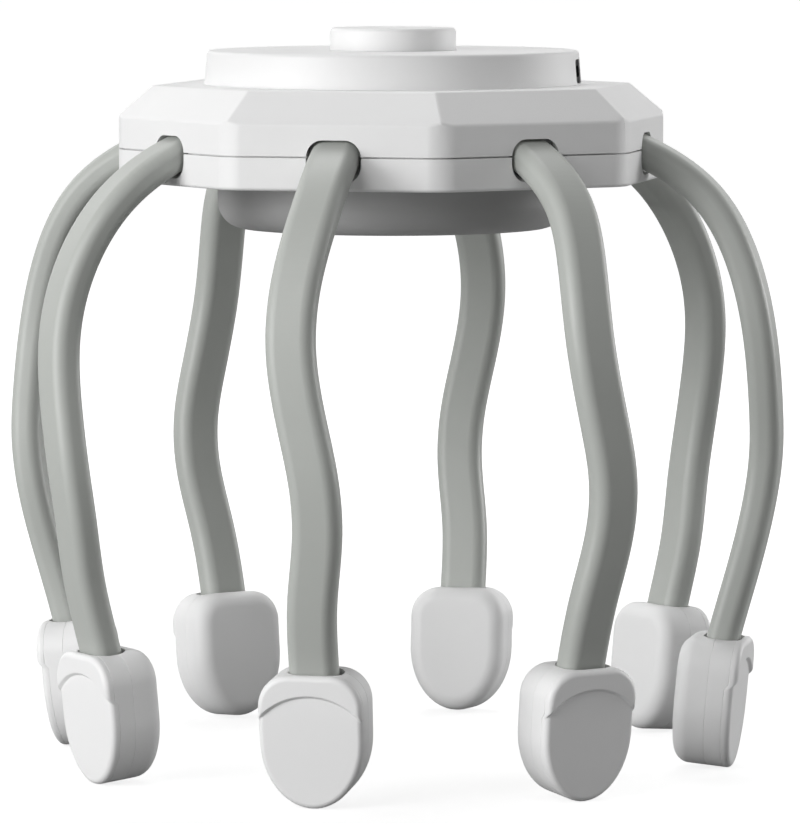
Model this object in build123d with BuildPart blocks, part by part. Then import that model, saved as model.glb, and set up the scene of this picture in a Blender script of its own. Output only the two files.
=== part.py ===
"""Electric scalp massager: an eight-sided hub with a push button and eight flexible arms with vibrating pods.

The model is built about the hub: Z is the hub's axis, z = 0 is the parting plane of its two housings,
and the first arm points along -Y. All pieces are lifted at the end, so that the pods stand on z = 0.
Lengths are in millimetres and angles in degrees.
"""
from build123d import *
from math import atan2, cos, degrees, radians, sin, tan
import os

# ---- hub housings ----
ARM_COUNT = 8
HUB_ACROSS_FLATS = 117.2
HUB_CORNER_R = 8.5          # rounding of the upright corners
HUB_WALL = 2.0
WALL_H = 6.9                # upright wall above the parting plane
BEVEL_H = 7.1               # sloping band above that wall
BEVEL_RUN = 7.8
LOWER_H = 7.6               # lower housing below the parting plane
LOWER_EDGE_R = 0.8
TOP_OPENING_R = 28.0        # hole under the control board
FLOOR_OPENING_R = 26.0      # hole over the bowl

# ---- control drum and button ----
DRUM_R = 42.8
DRUM_H = 7.7
DRUM_DRAFT = 8.0
DRUM_WALL = 1.8
DRUM_EDGE_R = 0.9
BUTTON_R = 14.3
BUTTON_PROUD = 5.1
BUTTON_TRAVEL = 0.8
BUTTON_EDGE_R = 0.9
BUTTON_WALL = 1.6
BUTTON_FLANGE = 1.6         # how far the flange reaches beyond the button's side
BUTTON_FLANGE_T = 1.2
BUTTON_STEM_R = 2.2
BUTTON_GAP = 0.3            # radial gap between the button and the drum
FLANGE_GAP = 0.1            # below the drum's top wall

# ---- control board and switch ----
BOARD_INSET = 2.2           # from the drum's inner wall to the board's rim
BOARD_T = 1.4
BOARD_GAP = 0.2             # from the board's rim to the socket's front
SWITCH_SIZE = 6.2
SWITCH_H = 1.6
PLUNGER_R = 1.6
PLUNGER_GAP = 0.08
PLUNGER_GRIP = 0.4          # how deep the plunger stands in the switch at rest
CHIP_SIZE = 7.0
CHIP_H = 1.0
CHIP_OFFSET = 12.5          # from the board's middle
DRIVER_SIZE = 3.0           # one motor driver for each arm
DRIVER_CIRCLE_R = 25.0

# ---- charging socket ----
PORT_BEARING = 5.7          # about Z, from +X
PORT_W = 10.2
PORT_H = 5.5
PORT_CORNER_R = 1.0
PORT_SILL = 0.3             # above the hub's top
PORT_RECESS = 0.5
PORT_DEPTH = 7.5
PORT_FIT = 0.05
SOCKET_W = 8.4              # mouth for the charging plug
SOCKET_H = 2.6
SOCKET_BACK = 1.2           # material behind the mouth
SOCKET_WALL = 0.4
TONGUE_W = 6.7
TONGUE_H = 0.7
TONGUE_SETBACK = 1.2

# ---- bowl and battery ----
BOWL_R = 39.9
BOWL_H = 11.0
BOWL_WALL = 1.8
BOWL_EDGE_R = 6.0
COLLAR_H = 2.5              # collar of the lower housing, inside the bowl
COLLAR_T = 1.6
COLLAR_FIT = 0.05
BATTERY_L = 46.0
BATTERY_W = 32.0
BATTERY_H = 7.6
BATTERY_CORNER_R = 1.5

# ---- screws between the housings ----
SCREW_COUNT = 4
SCREW_CIRCLE_R = 31.4
SCREW_R = 1.3
SCREW_HEAD_R = 2.4
SCREW_HEAD_H = 1.6
SCREW_LENGTH = 11.0
POST_R = 3.2
POST_SPLIT = -2.4           # height at which the upper and lower posts meet

# ---- arms ----
ARM_W = 10.7                # across the flat outer face
ARM_T = 6.9
ARM_CORNER_R = 2.8
ARM_ROOT_DIP = 24.0         # slope of the arm where it leaves the hub
ARM_ROOT_DROP = 0.7         # root centre below the parting plane
ARM_END_LEAN = 14.5         # slope of the lower end, towards the hub's axis
ARM_GAP = 0.6               # all round the arm in the hub's wall
ARM_STATIONS = 13
PASSAGE_REACH = 4.0         # length of the cut for the arm, each way from its root
# centreline from the root: outward, sideways and upward
ARM_ROUTE = [
    (14.7, -0.4, -9.8),
    (23.8, -2.7, -25.1),
    (27.3, -3.1, -39.3),
    (28.5, -0.1, -56.8),
    (28.3, 2.0, -67.3),
    (26.7, 2.5, -79.3),
    (23.4, 0.6, -94.3),
    (19.2, 0.0, -109.6),
]
TENON_W = 7.0
TENON_T = 4.2
TENON_L = 2.4
TENON_HEAD_W = 9.6
SADDLE_INNER_R = 49.0       # clamp blocks behind the hub's wall
SADDLE_W = 13.6
SADDLE_H = 5.0
SEAT_GAP = 0.15             # round the arm's root in its saddle

# ---- pods ----
POD_W = 23.1
POD_H = 29.6
POD_D = 14.4
POD_CORNER_R = 7.0
POD_TAPER = 15.1            # length of the half-elliptic lower end
POD_LEAN = 5.3
POD_FRONT = 5.8             # from the arm's centre to the brow's face
POD_WALL = 1.6
PAD_D = 7.7
PAD_EDGE_R = 3.6
BROW_T = 2.0
BROW_ARC_TOP = 4.3          # below the pod's top
BROW_ARC_R = 14.4
PANEL_DROP = 0.85           # panel's face behind the brow's
PANEL_WRAP = 0.85           # how much further the cover reaches back beside the panel
COVER_RIM_R = 1.3           # rounding of the cover's outer edge
GROOVE_W = 0.25             # fine line between the cover and the case
GROOVE_DEPTH = 0.25
SLOT_DEPTH = 2.2
SLOT_GAP = 0.75
SLOT_REACH = 6.6            # length of the cut for the arm, up from its end
CORE_TOP = 8.4              # solid head of the pod, above the motor's cavity

# ---- motor and eccentric weight ----
MOTOR_R = 3.0
MOTOR_L = 11.0
MOTOR_TOP = 9.6             # below the pod's top
MOTOR_BACK = 2.0            # motor's axis behind the arm's centre
CRADLE_L = 5.5              # length of the pad's cradle under the motor
SHAFT_R = 0.5
SHAFT_GAP = 0.05
SHAFT_GRIP = 3.0            # shaft inside the motor
WEIGHT_R = 3.0
WEIGHT_L = 4.0
WEIGHT_GAP = 0.8            # between the motor and its weight
WEIGHT_HUB_R = 1.2

# ---- wiring ----
LEAD_R = 0.8
LEAD_GAP = 0.1              # round a lead in its channel
LEAD_SETBACK = 0.3          # from the arm's root to the lead's end
LEAD_BEND_R = 5.0
LEAD_RISE_R = 25.0          # where the leads turn up to the board
CELL_LEAD_X = 12.0

# ---- sizes worked out from the ones above ----
HUB_R = HUB_ACROSS_FLATS / 2
HUB_TOP = WALL_H + BEVEL_H
BOARD_R = DRUM_R - DRUM_WALL - BOARD_INSET
BEVEL_SLOPE = degrees(atan2(BEVEL_RUN, BEVEL_H))
CEILING = HUB_TOP - HUB_WALL
FLOOR = HUB_WALL - LOWER_H
DRUM_TOP = HUB_TOP + DRUM_H
BOARD_TOP = HUB_TOP + BOARD_T
BUTTON_TOP = DRUM_TOP + BUTTON_PROUD
FLANGE_TOP = DRUM_TOP - DRUM_WALL - FLANGE_GAP
FLANGE_BOTTOM = FLANGE_TOP - BUTTON_FLANGE_T
PLUNGER_TOP = FLANGE_BOTTOM
SWITCH_TOP = BOARD_TOP + SWITCH_H
PIVOT_R = HUB_R - HUB_WALL / 2
PIVOT_Z = -ARM_ROOT_DROP
COVER_BACK = POD_FRONT - BROW_T
PANEL_BACK = COVER_BACK - PANEL_WRAP
PANEL_FACE = POD_FRONT - PANEL_DROP
PAD_FACE = POD_FRONT - POD_D
SEAM = PAD_FACE + PAD_D
POD_STRAIGHT = POD_H - POD_TAPER
BOWL_BOTTOM = -LOWER_H - BOWL_H
BATTERY_BOTTOM = BOWL_BOTTOM + BOWL_WALL
ARM_STEP = 360 / ARM_COUNT


def arm_point(out, side, up):
    """A point given from the first arm's root, outward, sideways and upward."""
    return Vector(side, -(PIVOT_R + out), PIVOT_Z + up)


def octagon(across_flats):
    """Make an eight-sided sketch with its sides square to the arms."""
    return RegularPolygon(across_flats / 2, ARM_COUNT, major_radius=False, rotation=ARM_STEP / 2)


def pod_outline(inset=0.0):
    """Make the pod's outline: flat top, round corners, straight sides and a half-elliptic lower end."""
    half = POD_W / 2 - inset
    with BuildSketch(mode=Mode.PRIVATE) as outline:
        with BuildLine():
            Polyline((-half, -POD_STRAIGHT), (-half, -inset), (half, -inset), (half, -POD_STRAIGHT))
            EllipticalCenterArc((0, -POD_STRAIGHT), half, POD_TAPER - inset, start_angle=180, arc_size=180)
        make_face()
        fillet(outline.vertices().group_by(Axis.Y)[-1], POD_CORNER_R - inset)
    return outline.sketch


# ---- planes of the first arm and its pod ----
ROOT_DIR = Vector(0, -cos(radians(ARM_ROOT_DIP)), -sin(radians(ARM_ROOT_DIP)))
END_DIR = Vector(0, sin(radians(ARM_END_LEAN)), -cos(radians(ARM_END_LEAN)))
root_plane = Plane(arm_point(0, 0, 0), x_dir=(1, 0, 0), z_dir=ROOT_DIR)
pod_top = arm_point(*ARM_ROUTE[-1])
arm_end = pod_top + END_DIR * SLOT_DEPTH
end_plane = Plane(arm_end, x_dir=(1, 0, 0), z_dir=END_DIR)
# the pod's sketches lie in this plane: x across the pod, y up along it, z outward
pod_plane = Plane(pod_top, x_dir=(1, 0, 0),
                  z_dir=(0, -cos(radians(POD_LEAN)), -sin(radians(POD_LEAN))))
pod_outward = Axis(pod_plane.origin, pod_plane.z_dir)
# the motor's axis runs down the pod
motor_plane = Plane(pod_plane.from_local_coords((0, -MOTOR_TOP, -MOTOR_BACK)),
                    x_dir=(1, 0, 0), z_dir=-pod_plane.y_dir)

# ---- arm ----
with BuildLine() as arm_route:
    Spline(arm_point(0, 0, 0), *[arm_point(*point) for point in ARM_ROUTE], arm_end,
           tangents=[ROOT_DIR, END_DIR])

with BuildPart() as arm:
    for station in range(ARM_STATIONS):
        along = station / (ARM_STATIONS - 1)
        section = Plane(arm_route.line @ along, x_dir=(1, 0, 0), z_dir=arm_route.line % along)
        with BuildSketch(section):
            RectangleRounded(ARM_W, ARM_T, ARM_CORNER_R)
    loft()
    # the root ends in a barrel about the line on which the arm flexes
    with BuildSketch(root_plane):
        RectangleRounded(ARM_W, ARM_T, ARM_CORNER_R)
        with Locations((0, -ARM_T / 2)):
            Rectangle(ARM_W, ARM_T, mode=Mode.SUBTRACT)
    revolve(axis=Axis(root_plane.origin, root_plane.x_dir), revolution_arc=-180)
    # a headed tenon that the pod's halves grip
    with BuildSketch(end_plane):
        Rectangle(TENON_W, TENON_T)
    extrude(amount=TENON_L)
    with BuildSketch(end_plane.offset(TENON_L)):
        Rectangle(TENON_HEAD_W, TENON_T)
    extrude(amount=TENON_L)

# the space that an arm needs in the hub's wall
with BuildPart() as arm_passage:
    with BuildSketch(root_plane):
        RectangleRounded(ARM_W + 2 * ARM_GAP, ARM_T + 2 * ARM_GAP, ARM_CORNER_R + ARM_GAP)
    extrude(amount=PASSAGE_REACH, both=True)

# the space that it needs in its pod
with BuildPart() as pod_socket:
    with BuildSketch(end_plane):
        RectangleRounded(ARM_W + 2 * SLOT_GAP, ARM_T + 2 * SLOT_GAP, ARM_CORNER_R + SLOT_GAP)
    extrude(amount=-SLOT_REACH)
    with BuildSketch(end_plane):
        Rectangle(TENON_W, TENON_T)
    extrude(amount=TENON_L)
    with BuildSketch(end_plane.offset(TENON_L)):
        Rectangle(TENON_HEAD_W, TENON_T)
    extrude(amount=TENON_L)

# the barrel's seat in the clamp blocks of the two housings, with a channel for the arm's lead
with BuildPart() as root_seat:
    with BuildSketch(Plane(root_plane.origin, x_dir=(0, 1, 0), z_dir=(1, 0, 0))):
        Circle(ARM_T / 2 + SEAT_GAP)
        with Locations((HUB_WALL / 2, 0)):
            Rectangle(ARM_T, 2 * ARM_T, align=(Align.MAX, Align.CENTER), mode=Mode.SUBTRACT)
    extrude(amount=ARM_W / 2 + ARM_GAP, both=True)
    with BuildSketch(Plane(root_plane.origin, x_dir=(1, 0, 0), z_dir=(0, 1, 0))):
        Circle(LEAD_R + LEAD_GAP)
    extrude(amount=PIVOT_R - SADDLE_INNER_R + LEAD_R)

# ---- outlines on the pod ----
with BuildSketch() as brow_circle:
    with Locations((0, -BROW_ARC_TOP - BROW_ARC_R)):
        Circle(BROW_ARC_R)

with BuildSketch() as cavity_outline:
    add(pod_outline(POD_WALL))
    with Locations((0, -CORE_TOP / 2)):
        Rectangle(POD_W, CORE_TOP, mode=Mode.SUBTRACT)

# ---- pod pieces ----
with BuildPart() as scalp_pad:
    with BuildSketch(pod_plane.offset(PAD_FACE)):
        add(pod_outline())
    extrude(amount=PAD_D)
    fillet(scalp_pad.faces().sort_by(pod_outward)[0].edges(), PAD_EDGE_R)
    with BuildSketch(pod_plane.offset(PAD_FACE + POD_WALL)):
        add(cavity_outline.sketch)
    extrude(amount=PAD_D, mode=Mode.SUBTRACT)
    # a cradle carries the motor
    with BuildSketch(pod_plane.offset(PAD_FACE + POD_WALL)):
        with Locations((0, -MOTOR_TOP - MOTOR_L / 2)):
            Rectangle(2 * MOTOR_R, CRADLE_L)
    extrude(amount=-MOTOR_BACK - PAD_FACE - POD_WALL)
    with BuildSketch(motor_plane):
        Circle(MOTOR_R)
    extrude(amount=MOTOR_L, mode=Mode.SUBTRACT)
    add(pod_socket.part, mode=Mode.SUBTRACT)

with BuildPart() as pod_case:
    with BuildSketch(pod_plane.offset(SEAM)):
        add(pod_outline())
    extrude(amount=COVER_BACK - SEAM)
    with BuildSketch(pod_plane.offset(PANEL_BACK)):
        add(brow_circle.sketch)
    extrude(amount=POD_D, mode=Mode.SUBTRACT)
    with BuildSketch(pod_plane.offset(SEAM)):
        add(cavity_outline.sketch)
    extrude(amount=POD_D, mode=Mode.SUBTRACT)
    add(pod_socket.part, mode=Mode.SUBTRACT)


def rim_edges(shell):
    """The edges of a pod shell's front face, apart from the brow's arc."""
    front_face = shell.faces().sort_by(pod_outward)[-1]
    return [edge for edge in front_face.edges()
            if edge.geom_type != GeomType.CIRCLE or edge.radius < BROW_ARC_R]


with BuildPart() as pod_cover:
    # beside the lower panel the cover reaches further back than behind the brow
    with BuildSketch(pod_plane.offset(PANEL_BACK)):
        add(pod_outline(GROOVE_DEPTH))
        add(brow_circle.sketch, mode=Mode.INTERSECT)
    extrude(amount=GROOVE_W)
    with BuildSketch(pod_plane.offset(PANEL_BACK + GROOVE_W)):
        add(pod_outline())
        add(brow_circle.sketch, mode=Mode.INTERSECT)
    extrude(amount=PANEL_FACE - PANEL_BACK - GROOVE_W)
    fillet(rim_edges(pod_cover), COVER_RIM_R)
    with BuildSketch(pod_plane.offset(COVER_BACK)):
        add(pod_outline(GROOVE_DEPTH))
    extrude(amount=GROOVE_W)
    with BuildSketch(pod_plane.offset(COVER_BACK + GROOVE_W)):
        add(pod_outline())
        add(brow_circle.sketch, mode=Mode.SUBTRACT)
    extrude(amount=BROW_T - GROOVE_W)
    fillet(rim_edges(pod_cover), COVER_RIM_R)
    with BuildSketch(pod_plane.offset(PANEL_BACK)):
        add(cavity_outline.sketch)
    extrude(amount=COVER_BACK - PANEL_BACK, mode=Mode.SUBTRACT)
    add(pod_socket.part, mode=Mode.SUBTRACT)

with BuildPart() as pod_motor:
    with BuildSketch(motor_plane):
        Circle(MOTOR_R)
    extrude(amount=MOTOR_L)
    with BuildSketch(motor_plane.offset(MOTOR_L - SHAFT_GRIP)):
        Circle(SHAFT_R + SHAFT_GAP)
    extrude(amount=SHAFT_GRIP, mode=Mode.SUBTRACT)

with BuildPart() as motor_weight:
    with BuildSketch(motor_plane.offset(MOTOR_L - SHAFT_GRIP)):
        Circle(SHAFT_R)
    extrude(amount=SHAFT_GRIP + WEIGHT_GAP)
    with BuildSketch(motor_plane.offset(MOTOR_L + WEIGHT_GAP)):
        Circle(WEIGHT_R)
        # the heavy half hangs on the lower side of the leaning shaft
        with Locations((0, -WEIGHT_R)):
            Rectangle(2 * WEIGHT_R, 2 * WEIGHT_R, mode=Mode.SUBTRACT)
        Circle(WEIGHT_HUB_R)
    extrude(amount=WEIGHT_L)

# ---- upper housing ----
with BuildPart() as upper_housing:
    with BuildSketch():
        octagon(HUB_ACROSS_FLATS)
    extrude(amount=WALL_H)
    with BuildSketch(Plane.XY.offset(WALL_H)):
        octagon(HUB_ACROSS_FLATS)
    extrude(amount=BEVEL_H, taper=BEVEL_SLOPE)
    with BuildSketch():
        octagon(HUB_ACROSS_FLATS)
        fillet(vertices(), HUB_CORNER_R)
    extrude(amount=HUB_TOP, mode=Mode.INTERSECT)
    # the inside follows the outside at the wall's thickness
    inner_wall_h = WALL_H - HUB_WALL * tan(radians(BEVEL_SLOPE / 2))
    with BuildSketch():
        octagon(HUB_ACROSS_FLATS - 2 * HUB_WALL)
    extrude(amount=inner_wall_h, mode=Mode.SUBTRACT)
    with BuildSketch(Plane.XY.offset(inner_wall_h)):
        octagon(HUB_ACROSS_FLATS - 2 * HUB_WALL)
    extrude(amount=CEILING - inner_wall_h, taper=BEVEL_SLOPE, mode=Mode.SUBTRACT)
    with BuildSketch(Plane.XY.offset(CEILING)):
        Circle(TOP_OPENING_R)
    extrude(amount=HUB_WALL, mode=Mode.SUBTRACT)
    # screw posts hang from the ceiling
    with BuildSketch(Plane.XY.offset(POST_SPLIT)):
        with PolarLocations(SCREW_CIRCLE_R, SCREW_COUNT, start_angle=ARM_STEP / 2):
            Circle(POST_R)
    extrude(amount=CEILING - POST_SPLIT)
    with BuildSketch(Plane.XY.offset(POST_SPLIT)):
        with PolarLocations(SCREW_CIRCLE_R, SCREW_COUNT, start_angle=ARM_STEP / 2):
            Circle(SCREW_R)
    extrude(amount=SCREW_LENGTH, mode=Mode.SUBTRACT)
    # upper halves of the clamp blocks that hold the arms' roots
    with BuildSketch():
        with PolarLocations((SADDLE_INNER_R + HUB_R - HUB_WALL) / 2, ARM_COUNT):
            Rectangle(HUB_R - HUB_WALL - SADDLE_INNER_R, SADDLE_W)
    extrude(amount=SADDLE_H)
    with PolarLocations(0, ARM_COUNT):
        add(root_seat.part, mode=Mode.SUBTRACT)
        add(arm_passage.part, mode=Mode.SUBTRACT)

# ---- lower housing ----
with BuildPart() as lower_housing:
    with BuildSketch():
        octagon(HUB_ACROSS_FLATS)
        fillet(vertices(), HUB_CORNER_R)
    extrude(amount=-LOWER_H)
    fillet(lower_housing.faces().sort_by(Axis.Z)[0].edges(), LOWER_EDGE_R)
    with BuildSketch(Plane.XY.offset(FLOOR)):
        octagon(HUB_ACROSS_FLATS - 2 * HUB_WALL)
    extrude(amount=-FLOOR, mode=Mode.SUBTRACT)
    # a collar under the floor locates the bowl
    with BuildSketch(Plane.XY.offset(-LOWER_H)):
        Circle(BOWL_R - BOWL_WALL - COLLAR_FIT)
        Circle(BOWL_R - BOWL_WALL - COLLAR_FIT - COLLAR_T, mode=Mode.SUBTRACT)
    extrude(amount=-COLLAR_H)
    with BuildSketch(Plane.XY.offset(FLOOR)):
        with PolarLocations(SCREW_CIRCLE_R, SCREW_COUNT, start_angle=ARM_STEP / 2):
            Circle(POST_R)
    extrude(amount=POST_SPLIT - FLOOR)
    with BuildSketch(Plane.XY.offset(-LOWER_H)):
        with PolarLocations(SCREW_CIRCLE_R, SCREW_COUNT, start_angle=ARM_STEP / 2):
            Circle(SCREW_R)
    extrude(amount=LOWER_H, mode=Mode.SUBTRACT)
    with BuildSketch(Plane.XY.offset(-LOWER_H)):
        with PolarLocations(SCREW_CIRCLE_R, SCREW_COUNT, start_angle=ARM_STEP / 2):
            Circle(SCREW_HEAD_R)
    extrude(amount=SCREW_HEAD_H, mode=Mode.SUBTRACT)
    with BuildSketch(Plane.XY.offset(-LOWER_H)):
        Circle(FLOOR_OPENING_R)
    extrude(amount=HUB_WALL, mode=Mode.SUBTRACT)
    # lower halves of the clamp blocks
    with BuildSketch(Plane.XY.offset(FLOOR)):
        with PolarLocations((SADDLE_INNER_R + HUB_R - HUB_WALL) / 2, ARM_COUNT):
            Rectangle(HUB_R - HUB_WALL - SADDLE_INNER_R, SADDLE_W)
    extrude(amount=-FLOOR)
    with PolarLocations(0, ARM_COUNT):
        add(root_seat.part, mode=Mode.SUBTRACT)
        add(arm_passage.part, mode=Mode.SUBTRACT)

# ---- bowl that rests on the crown ----
with BuildPart() as crown_pad:
    with BuildSketch(Plane.XY.offset(-LOWER_H)):
        Circle(BOWL_R)
    extrude(amount=-BOWL_H)
    fillet(crown_pad.faces().sort_by(Axis.Z)[0].edges(), BOWL_EDGE_R)
    offset(amount=-BOWL_WALL, openings=crown_pad.faces().sort_by(Axis.Z)[-1])

with BuildPart() as battery:
    with BuildSketch(Plane.XY.offset(BATTERY_BOTTOM)):
        RectangleRounded(BATTERY_L, BATTERY_W, BATTERY_CORNER_R)
    extrude(amount=BATTERY_H)

with BuildPart() as housing_screws:
    with BuildSketch(Plane.XY.offset(-LOWER_H)):
        with PolarLocations(SCREW_CIRCLE_R, SCREW_COUNT, start_angle=ARM_STEP / 2):
            Circle(SCREW_HEAD_R)
    extrude(amount=SCREW_HEAD_H)
    with BuildSketch(Plane.XY.offset(SCREW_HEAD_H - LOWER_H)):
        with PolarLocations(SCREW_CIRCLE_R, SCREW_COUNT, start_angle=ARM_STEP / 2):
            Circle(SCREW_R)
    extrude(amount=SCREW_LENGTH)

# ---- control drum ----
port_middle = PORT_SILL + PORT_H / 2
drum_slope = degrees(atan2(1, DRUM_DRAFT))
port_plane = Plane(Vector(0, 0, HUB_TOP + port_middle), z_dir=(1, 0, 0), x_dir=(0, 1, 0))
port_plane = port_plane.rotated((0, 0, PORT_BEARING))

with BuildPart() as control_drum:
    with BuildSketch(Plane.XY.offset(HUB_TOP)):
        Circle(DRUM_R)
    extrude(amount=DRUM_H, taper=drum_slope)
    fillet(control_drum.faces().sort_by(Axis.Z)[-1].edges(), DRUM_EDGE_R)
    with BuildSketch(Plane.XY.offset(HUB_TOP)):
        Circle(DRUM_R - DRUM_WALL)
    extrude(amount=DRUM_H - DRUM_WALL, taper=drum_slope, mode=Mode.SUBTRACT)
    with BuildSketch(Plane.XY.offset(DRUM_TOP)):
        Circle(BUTTON_R + BUTTON_GAP)
    extrude(amount=-DRUM_WALL, mode=Mode.SUBTRACT)
    with BuildSketch(port_plane):
        RectangleRounded(PORT_W, PORT_H, PORT_CORNER_R)
    extrude(amount=DRUM_R, mode=Mode.SUBTRACT)

with BuildPart() as power_button:
    with BuildSketch(Plane.XY.offset(FLANGE_BOTTOM)):
        Circle(BUTTON_R)
    extrude(amount=BUTTON_TOP - FLANGE_BOTTOM)
    fillet(power_button.faces().sort_by(Axis.Z)[-1].edges(), BUTTON_EDGE_R)
    with BuildSketch(Plane.XY.offset(FLANGE_BOTTOM)):
        Circle(BUTTON_R + BUTTON_FLANGE)
    extrude(amount=BUTTON_FLANGE_T)
    with BuildSketch(Plane.XY.offset(FLANGE_BOTTOM)):
        Circle(BUTTON_R - BUTTON_WALL)
    extrude(amount=BUTTON_TOP - FLANGE_BOTTOM - BUTTON_WALL, mode=Mode.SUBTRACT)
    with BuildSketch(Plane.XY.offset(PLUNGER_TOP)):
        Circle(BUTTON_STEM_R)
    extrude(amount=BUTTON_TOP - PLUNGER_TOP - BUTTON_WALL)

# ---- control board ----
with BuildPart() as main_board:
    with BuildSketch(Plane.XY.offset(HUB_TOP)):
        Circle(BOARD_R)
    extrude(amount=BOARD_T)
    with BuildSketch(Plane.XY.offset(BOARD_TOP)):
        with PolarLocations(DRIVER_CIRCLE_R, ARM_COUNT, start_angle=ARM_STEP / 2):
            Rectangle(DRIVER_SIZE, DRIVER_SIZE)
        with Locations((-CHIP_OFFSET, 0)):
            Rectangle(CHIP_SIZE, CHIP_SIZE)
    extrude(amount=CHIP_H)

with BuildPart() as tact_switch:
    with BuildSketch(Plane.XY.offset(BOARD_TOP)):
        Rectangle(SWITCH_SIZE, SWITCH_SIZE)
    extrude(amount=SWITCH_H)
    with BuildSketch(Plane.XY.offset(SWITCH_TOP)):
        Circle(PLUNGER_R + PLUNGER_GAP)
    extrude(amount=-PLUNGER_GRIP - BUTTON_TRAVEL - FLANGE_GAP, mode=Mode.SUBTRACT)

with BuildPart() as switch_plunger:
    with BuildSketch(Plane.XY.offset(PLUNGER_TOP)):
        Circle(PLUNGER_R)
    extrude(amount=SWITCH_TOP - PLUNGER_GRIP - PLUNGER_TOP)

with BuildPart() as charging_socket:
    # the front fills the window in the drum's wall, a little below its surface
    with BuildSketch(port_plane):
        RectangleRounded(PORT_W - 2 * PORT_FIT, PORT_H - 2 * PORT_FIT, PORT_CORNER_R - PORT_FIT)
    extrude(amount=DRUM_R)
    with BuildSketch(Plane.XY.offset(HUB_TOP)):
        Circle(DRUM_R - PORT_RECESS)
    extrude(amount=DRUM_H, taper=drum_slope, mode=Mode.INTERSECT)
    with BuildSketch(Plane.XY.offset(HUB_TOP)):
        Circle(BOARD_R + BOARD_GAP)
    extrude(amount=DRUM_H, mode=Mode.SUBTRACT)
    # the socket behind it stands on the board
    with BuildSketch(port_plane.offset(DRUM_R - PORT_DEPTH)):
        RectangleRounded(SOCKET_W + 2 * SOCKET_WALL, 2 * (port_middle - BOARD_T), PORT_CORNER_R)
    extrude(amount=PORT_DEPTH - DRUM_WALL)
    with BuildSketch(port_plane.offset(DRUM_R - PORT_DEPTH + SOCKET_BACK)):
        SlotOverall(SOCKET_W, SOCKET_H)
        Rectangle(TONGUE_W, TONGUE_H, mode=Mode.SUBTRACT)
    extrude(amount=PORT_DEPTH, mode=Mode.SUBTRACT)
    with BuildSketch(port_plane.offset(DRUM_R - PORT_RECESS - TONGUE_SETBACK)):
        Rectangle(TONGUE_W, TONGUE_H)
    extrude(amount=PORT_DEPTH, mode=Mode.SUBTRACT)

# ---- wiring ----
lead_start_r = PIVOT_R - ARM_T / 2 - LEAD_SETBACK
with BuildPart() as wiring:
    for index in range(ARM_COUNT):
        turn = Plane.XZ.rotated((0, 0, index * ARM_STEP))
        with BuildLine(turn) as lead_line:
            FilletPolyline((lead_start_r, PIVOT_Z), (LEAD_RISE_R, PIVOT_Z), (LEAD_RISE_R, HUB_TOP),
                           radius=LEAD_BEND_R)
        with BuildSketch(Plane(lead_line.line @ 0, z_dir=lead_line.line % 0)):
            Circle(LEAD_R)
        sweep(path=lead_line.line)
    with BuildSketch(Plane.XY.offset(BATTERY_BOTTOM + BATTERY_H)):
        with Locations((CELL_LEAD_X, 0)):
            Circle(LEAD_R)
    extrude(amount=HUB_TOP - BATTERY_BOTTOM - BATTERY_H)

# ---- lift everything so that the pods stand on z = 0, and write one file per piece ----
stand_height = -min(scalp_pad.part.bounding_box().min.Z, pod_cover.part.bounding_box().min.Z,
                    pod_case.part.bounding_box().min.Z)

hub_pieces = {
    "upper_housing": upper_housing, "lower_housing": lower_housing, "crown_pad": crown_pad,
    "control_drum": control_drum, "power_button": power_button, "main_board": main_board,
    "tact_switch": tact_switch, "switch_plunger": switch_plunger, "charging_socket": charging_socket,
    "battery": battery, "housing_screws": housing_screws, "wiring": wiring,
}
arm_pieces = {
    "arm": arm, "pod_case": pod_case, "scalp_pad": scalp_pad, "pod_cover": pod_cover,
    "pod_motor": pod_motor, "motor_weight": motor_weight,
}

os.makedirs("parts", exist_ok=True)
for name, piece in hub_pieces.items():
    placed = Pos(0, 0, stand_height) * piece.part
    placed.label = name
    export_step(placed, f"parts/{name}.step")
for name, piece in arm_pieces.items():
    for index in range(ARM_COUNT):
        placed = Pos(0, 0, stand_height) * Rot(0, 0, index * ARM_STEP) * piece.part
        placed.label = f"{name}_{index + 1}"
        export_step(placed, f"parts/{name}_{index + 1}.step")
print("stand height", round(stand_height, 3))
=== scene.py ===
# %% [markdown]
# # An electric scalp massager
# An eight-sided white hub carries a round drum with a push button. Eight soft grey arms hang from it like
# the legs of a spider, and each ends in a white pod that hides a small vibrating motor. The construction
# comes from the CAD frame. This lesson dresses it: every visible piece is modelled again with smooth
# surfaces and small edge rounds, and gets its own finish.

# %% Load the frame
import bmesh
import bpy
import numpy as np
from math import asin, atan, cos, pi, radians, sin, sqrt, tan
from mathutils import Matrix, Vector


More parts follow.
